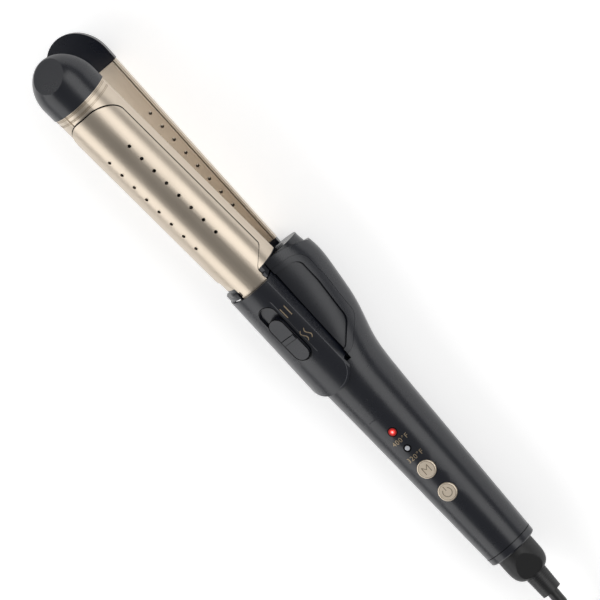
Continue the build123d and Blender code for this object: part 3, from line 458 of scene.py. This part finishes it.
# Figures on the handle, each behind its light
figures = {
    "words": (("400\u00b0F", 44.2), ("320\u00b0F", 54.9)), "height": 2.5,
    "thick": 0.24, "sunk": 0.1, "thinner": 0.03, "spacing": 1.16,
}


def makeFigures(m):
    for words, x in m["words"]:
        mesh = wordMesh(words, (x, 0), m["height"], m["thick"], m["sunk"], m["thinner"], m["spacing"])
        addPiece("figure" + words[:3], [mesh], onHandle, "handle", "gold_plastic", "markGold")


makeFigures(figures)

# Lights: a dark ring round each, and a halo and a bright middle on the lit red one
lights = {
    "x": (38.8, 49.5), "ringR": (2.2, 1.75), "ringWidth": 0.6, "ringHeight": 0.08, "proud": 0.15,
    "haloR": 1.62, "haloWidth": 0.72, "haloHeight": 0.1,
    "sparkR": 0.3, "sparkWidth": 0.56, "sparkHeight": 0.03, "sparkSegments": 20,
}


def makeLights(m):
    rings = []
    for x, radius in zip(m["x"], m["ringR"]):
        rings.append(ringMesh((x, 0), radius, m["ringWidth"], m["ringHeight"]))
    addPiece("lightRings", rings, onHandle, "handle", "black_plastic", "darkLinesAndPaintedShade")
    redX = m["x"][0]
    halo = ringMesh((redX, 0), m["haloR"], m["haloWidth"], m["haloHeight"])
    addPiece("redHalo", [halo], onHandle, "handle", "red_lens", "haloRed")
    spark = ringMesh((redX, 0), m["sparkR"], m["sparkWidth"], m["sparkHeight"], m["sparkSegments"])
    addPiece("redSpark", [spark], onFlatTop(redX, m["proud"]), "handle", "red_lens", "sparkRed")


makeLights(lights)
print("handle marks and lights")

# Signs and fine rims on the two buttons
buttons = {
    "modeX": 63.4, "powerX": 78.4, "proud": 0.45, "rimR": 4.1, "rimWidth": 0.2, "rimSegments": 48,
    "height": 0.04, "letter": 4.4, "thinner": 0.1, "powerR": 2.35, "stroke": 0.42, "powerSweep": 290.0,
    "powerSegments": 36, "barLength": 2.6, "barInset": 0.2,
}


def makeButtonSign(m, name, body, x, sign):
    rim = ringMesh((x, 0), m["rimR"], m["rimWidth"], m["height"], m["rimSegments"])
    addPiece(name, [rim] + sign, onFlatTop(x, m["proud"]), body, "gold_plastic", "darkGold")


def makeButtonSigns(m):
    modeX, powerX = m["modeX"], m["powerX"]
    letter = wordMesh("M", (modeX, 0), m["letter"], m["height"], thinner=m["thinner"])
    makeButtonSign(m, "modeSign", "mode_button", modeX, [letter])
    start = 180.0 + (360.0 - m["powerSweep"]) / 2
    ring = ringMesh((powerX, 0), m["powerR"], m["stroke"], m["height"], m["powerSegments"],
                    m["powerSweep"], start)
    barX = powerX - m["powerR"] + m["barInset"]
    bar = barMesh((barX, 0), m["barLength"], m["stroke"], m["height"], 1)
    makeButtonSign(m, "powerSign", "power_button", powerX, [ring, bar])


makeButtonSigns(buttons)
print("button signs")

# Thin bright rims of the clip's vents, in two rows
ventRims = {"firstX": -153.0, "pitch": 8.5, "count": 8, "angle": 23.5,
            "radius": 1.15, "width": 0.3, "height": 0.05, "segments": 20}


def makeVentRims(m):
    across = math.radians(m["angle"]) * barrelR
    rims = []
    for side in (1, -1):
        for step in range(m["count"]):
            middle = (m["firstX"] + m["pitch"] * step, side * across)
            rims.append(ringMesh(middle, m["radius"], m["width"], m["height"], m["segments"]))
    addPiece("ventRims", rims, onClip, "clip_lever", "gold_metal")


makeVentRims(ventRims)

# Fine dark lines turned round the near barrel between its cap and the clip
barrelLines = {"x": (-183.2, -182.5, -180.3, -179.6), "width": 0.22, "height": 0.03,
               "halfAngle": 84.0, "segments": 48}


def makeBarrelLines(m):
    run = 2 * (math.radians(m["halfAngle"]) * barrelR)
    lines = []
    for x in m["x"]:
        lines.append(barMesh((x, 0), m["width"], run, m["height"], 1, crossSegments=m["segments"]))
    addPiece("barrelLines", lines, onNearBarrel, "near_arm", "gold_metal", "darkGold")


makeBarrelLines(barrelLines)

# A light gold line along the rim of the fixed half barrel, beside its plate: a painted highlight on the
# rim's edge
farRimHighlight = {"frontX": -183.8, "rearX": -68.2, "y": 15.45, "z": -0.3, "width": 0.8, "height": 0.04}


def onFarRimHighlight(x, y, up):
    return onBase(x, y, farRimHighlight["z"] + up)


def makeFarRimHighlight(m):
    middle = ((m["frontX"] + m["rearX"]) / 2, m["y"])
    bar = barMesh(middle, m["rearX"] - m["frontX"], m["width"], m["height"], 1)
    addPiece("farRimHighlight", [bar], onFarRimHighlight, "handle", "gold_metal", "rimHighlightGold")


makeFarRimHighlight(farRimHighlight)

# A dark liner under the clip, a little larger than it, that draws the clip's outline: painted shade in the
# gap between the clip and the barrel
clipShadeLiner = {"grow": 0.4, "low": 0.02, "high": 0.16, "middleX": -125.0, "halfX": 52.5, "halfY": 14.6}


def makeClipShadeLiner(m):
    bm = mergedCopy("clip_sheet")
    shut = armPose.inverted()
    spreadX, spreadY = 1 + m["grow"] / m["halfX"], 1 + m["grow"] / m["halfY"]
    for vert in bm.verts:
        x, y, z = shut @ (vert.co / mm)
        radius, angle = math.hypot(y, z), math.atan2(y, z)
        along = x - m["middleX"]
        if along < 0:  # the tip's half grows forwards, the neck keeps its length
            along *= spreadX
        up = m["low"] + (m["high"] - m["low"]) * (radius - barrelR) / clipT
        vert.co = (m["middleX"] + along, angle * spreadY * barrelR, up)
    addPiece("clipShadeLiner", [bm], onNearBarrel, "clip_lever", "black_plastic", "darkLinesAndPaintedShade")


makeClipShadeLiner(clipShadeLiner)
print("barrel trim")

# The two shells, with the outside drawn true where the head runs into the taper
shellNeck = {"frontX": 10.0, "blendX": 17.0, "endX": 30.2, "reach": 2.08, "proud": 0.2, "sharpAngle": 28.0}


def makeShell(m, name, node):
    bm = mergedCopy(node)
    for vert in bm.verts:
        x, y, z = vert.co / mm
        z -= axisZ
        radius = math.hypot(y, z)
        aim = handleR(x) + m["proud"] * (m["endX"] - x) / (m["endX"] - neckX)
        if m["frontX"] < x < m["endX"] and radius > aim - m["reach"]:  # the outside only
            share = min((x - m["frontX"]) / (m["blendX"] - m["frontX"]), 1.0)
            grow = 1 + (aim / radius - 1) * share * share * (3 - 2 * share)  # eased at both ends
            vert.co = onBase(x, y * grow, max(z * grow, -axisZ))
    for face in bm.faces:
        face.smooth = True
    for edge in bm.edges:
        edge.smooth = edge.calc_face_angle(0.0) < math.radians(m["sharpAngle"])
    shell = addPiece(name, [bm], asItLies, "handle", "black_plastic", turnFaces=False)
    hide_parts(node)


makeShell(shellNeck, "backShell", "body_back_shell")
makeShell(shellNeck, "frontShell", "body_front_shell")
print("shells")

# The fine dark joint between the shells and the end collar
endJoint = {"x": 118.0, "width": 0.35, "height": 0.03, "segments": 96}


def makeEndJoint(m):
    run = 2 * math.pi * handleR(m["x"])
    line = barMesh((m["x"], 0), m["width"], run, m["height"], 1, crossSegments=m["segments"])
    addPiece("endJoint", [line], onHandle, "handle", "black_plastic", "darkLinesAndPaintedShade")


makeEndJoint(endJoint)


def makeArmSpring():
    spring = addPiece("armSpring", [mergedCopy("arm_spring")], asItLies, "handle", "steel")
    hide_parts("arm_spring")
    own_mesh(spring)


makeArmSpring()
print("spring")

# Cord gland: a rounded nose with a slanted flat on top, over the root of the ribbed relief
gland = {
    "neckX": 114.0, "neckR": 7.0, "rootX": 122.3, "r": 10.3, "domeX": 128.0, "domeLength": 11.0,
    "domeSteps": 18, "square": 0.66, "segments": 64, "flatX": 125.0, "flatSlope": 18.5,
    "bevel": 0.25, "bevelSegments": 2, "turn": -20.0, "gap": 1e-4,
}


def makeGland(m):
    bm = bmesh.new()
    profile = [(m["neckX"], 0.0), (m["neckX"], m["neckR"]), (m["rootX"], m["neckR"]), (m["rootX"], m["r"])]
    for step in range(m["domeSteps"] + 1):
        angle = math.pi / 2 * step / m["domeSteps"]
        along, out = math.sin(angle) ** m["square"], max(math.cos(angle), 0.0) ** m["square"]
        profile.append((m["domeX"] + m["domeLength"] * along, m["r"] * out))
    verts = [bm.verts.new((x, 0, z)) for x, z in profile]
    edges = [bm.edges.new(pair) for pair in zip(verts, verts[1:])]
    bmesh.ops.spin(bm, geom=verts + edges, cent=origin, axis=lengthwise, dvec=origin,
                   angle=2 * math.pi, steps=m["segments"], use_merge=True, use_duplicate=False)
    bmesh.ops.remove_doubles(bm, verts=bm.verts, dist=m["gap"])
    slope = math.radians(m["flatSlope"])
    cut = bmesh.ops.bisect_plane(
        bm, geom=bm.verts[:] + bm.edges[:] + bm.faces[:], plane_co=(m["flatX"], 0, m["r"]),
        plane_no=(math.sin(slope), 0, math.cos(slope)), clear_outer=True,
    )
    rim = [edge for edge in cut["geom_cut"] if isinstance(edge, bmesh.types.BMEdge)]
    bmesh.ops.contextual_create(bm, geom=rim)
    bmesh.ops.bevel(bm, geom=rim, offset=m["bevel"], offset_type="OFFSET", segments=m["bevelSegments"],
                    profile=0.5, affect="EDGES", material=-1)
    turnMesh(bm, m["turn"], "X")
    nose = addPiece("glandNose", [bm], onBase, "cord_swivel", "black_plastic", "glandBlack")
    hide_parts("swivel_gland")


makeGland(gland)
print("gland")

# Cord: a straight lead, a ramp to the table, a tied coil and the plug on top of it
cordLay = {
    "radius": 3.0, "exitX": 150.2, "leadX": 170.5, "rampX": 203.0,
    "coilX": 224.2, "coilStartY": -19.0, "coilZ": 3.9, "coilMeanR": 30.0, "pitch": 6.5, "layerPairs": 2,
    "turnSteps": 8, "tailRun": 43.0, "loopRun": 35.0, "loopAngle": 60.0, "plugRest": 2.4, "plugHeight": 14.0,
    "smoothness": 6, "order": 3,
}


# Control points round half a turn, swollen so that the spline keeps the radius
def halfTurn(start, radius, heading, climb, steps):
    swell = 1 / math.cos(math.pi / steps / 2)
    centre = start + Vector((0, heading * radius, 0))
    places = []
    for step in range(steps):
        angle = math.pi * (step + 0.5) / steps
        out = heading * radius * swell
        rise = climb * (1 - math.cos(angle)) / 2
        places.append(centre + Vector((out * math.sin(angle), -out * math.cos(angle), rise)))
    return places, start + Vector((0, 2 * heading * radius, climb))


# Control points of the whole cord, from the relief to the plug
def cordRoute(m):
    places = [
        Vector((m["exitX"], 0, axisZ)),
        Vector((m["leadX"], 0, axisZ)),
        Vector((m["rampX"], m["coilStartY"], m["coilZ"])),
    ]
    mean, pitch = m["coilMeanR"], m["pitch"]
    outer, inner = mean + pitch / 2, mean - pitch / 2
    inward = [(outer, 0), (mean, 0), (inner, 0), (mean - pitch, 1)]
    outward = [(inner, 0), (mean, 0), (outer, 0), (mean + pitch, 1)]
    spot, heading = Vector((m["coilX"], m["coilStartY"], m["coilZ"])), 1
    for radius, climb in (inward + outward) * m["layerPairs"]:
        turn, spot = halfTurn(spot, radius, heading, climb * pitch, m["turnSteps"])
        places.extend(turn)
        heading = -heading
    run = m["loopRun"]
    loopRise = run * math.sin(math.radians(m["loopAngle"]))
    top = m["coilZ"] + (2 * m["layerPairs"] - 1) * pitch + m["radius"]
    plugZ = top + m["plugRest"] + m["plugHeight"] / 2
    tailX = m["coilX"] + m["tailRun"]
    places.append(Vector((tailX, spot.y, spot.z)))
    places.append(Vector((tailX + run / 2, spot.y + loopRise, (spot.z + plugZ) / 2)))
    places.append(Vector((tailX, spot.y + 2 * loopRise, plugZ)))
    places.append(Vector((tailX - run, spot.y + 2 * loopRise, plugZ)))
    return places


def makeCord(m):
    data = bpy.data.curves.new("cord", "CURVE")
    data.dimensions = "3D"
    data.bevel_depth = m["radius"] * mm
    data.bevel_resolution = m["smoothness"]
    data.resolution_u = m["smoothness"]
    data.use_fill_caps = True
    points = cordRoute(m)
    spline = data.splines.new("NURBS")
    spline.points.add(len(points) - 1)
    for slot, point in zip(spline.points, points):
        slot.co = (*(point * mm), 1.0)
    spline.order_u = m["order"]
    spline.use_endpoint_u = True
    data.materials.append(materials["black_rubber"])
    cord = bpy.data.objects.new("cord", data)
    scene.collection.objects.link(cord)
    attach(cord, "cord_swivel")
    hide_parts("cord_lead", "cord_coil", "cord_tail")


makeCord(cordLay)
print("cord")

# Stage and light: a white floor, two long soft boxes and a small one off the tip
stage = {
    "floorHalf": 6.0, "floorTone": 0.88, "floorRoughness": 0.9, "floorLift": 0.5, "worldStrength": 0.26,
    "boxTarget": (-0.04, 0, 0.02), "tipTarget": (-0.19, 0, 0.04),
    "nearBox": {"angle": -58.0, "away": 1.05, "size": (1.7, 0.75), "power": 6.0},
    "farBox": {"angle": 48.0, "away": 1.05, "size": (1.7, 0.7), "power": 6.0},
    "tipBox": {"direction": (-0.8, -0.36, 0.44), "away": 1.2, "size": (0.5, 0.5), "power": 1.0},
}


# The floor shows white to the camera and in reflections, and keeps the soft shadow
def floorMaterial(m):
    material = bpy.data.materials.new("floorWhite")
    material.use_nodes = True
    tree = material.node_tree
    shader = tree.nodes["Principled BSDF"]
    shader.inputs["Base Color"].default_value = (m["floorTone"], m["floorTone"], m["floorTone"], 1)
    shader.inputs["Roughness"].default_value = m["floorRoughness"]
    shader.inputs["Emission Color"].default_value = (1, 1, 1, 1)
    rays = tree.nodes.new("ShaderNodeLightPath")
    seen = rays.outputs["Is Camera Ray"]
    for other in ("Is Glossy Ray", "Is Transmission Ray"):
        most = tree.nodes.new("ShaderNodeMath")
        most.operation = "MAXIMUM"
        tree.links.new(seen, most.inputs[0])
        tree.links.new(rays.outputs[other], most.inputs[1])
        seen = most.outputs[0]
    lift = tree.nodes.new("ShaderNodeMath")
    lift.operation = "MULTIPLY"
    lift.inputs[1].default_value = m["floorLift"]
    tree.links.new(seen, lift.inputs[0])
    tree.links.new(lift.outputs[0], shader.inputs["Emission Strength"])
    return material


def makeStage(m):
    bm = bmesh.new()
    bmesh.ops.create_grid(bm, x_segments=1, y_segments=1, size=m["floorHalf"])
    data = bpy.data.meshes.new("floor")
    bm.to_mesh(data)
    bm.free()
    floor = bpy.data.objects.new("floor", data)
    scene.collection.objects.link(floor)
    data.materials.append(floorMaterial(m))
    world = bpy.data.worlds.new("world")
    scene.world = world
    world.use_nodes = True
    background = world.node_tree.nodes["Background"]
    background.inputs["Color"].default_value = (1, 1, 1, 1)
    background.inputs["Strength"].default_value = m["worldStrength"]


def newBox(name, size, power):
    data = bpy.data.lights.new(name, "AREA")
    data.shape = "RECTANGLE"
    data.size, data.size_y = size
    data.energy = power
    lamp = bpy.data.objects.new(name, data)
    scene.collection.objects.link(lamp)
    return lamp


# A long soft box beside the iron, tipped from straight above by an angle towards +Y
def addLongBox(name, target, angle, away, size, power):
    lamp = newBox(name, size, power)
    tilt = math.radians(angle)
    place = Vector(target) + Vector((0, math.sin(tilt), math.cos(tilt))) * away
    lamp.matrix_world = Matrix.Translation(place) @ Matrix.Rotation(-tilt, 4, "X")


# A small soft box off the tip, for the flat on the near cap
def addTipBox(target, direction, away, size, power):
    lamp = newBox("tipBox", size, power)
    heading = Vector(direction).normalized()
    lamp.location = Vector(target) + heading * away
    lamp.rotation_euler = heading.to_track_quat("Z", "Y").to_euler()


makeStage(stage)
addTipBox(stage["tipTarget"], **stage["tipBox"])
for name in ("nearBox", "farBox"):
    addLongBox(name, stage["boxTarget"], **stage[name])
scene.view_settings.view_transform = "Standard"
print("stage")
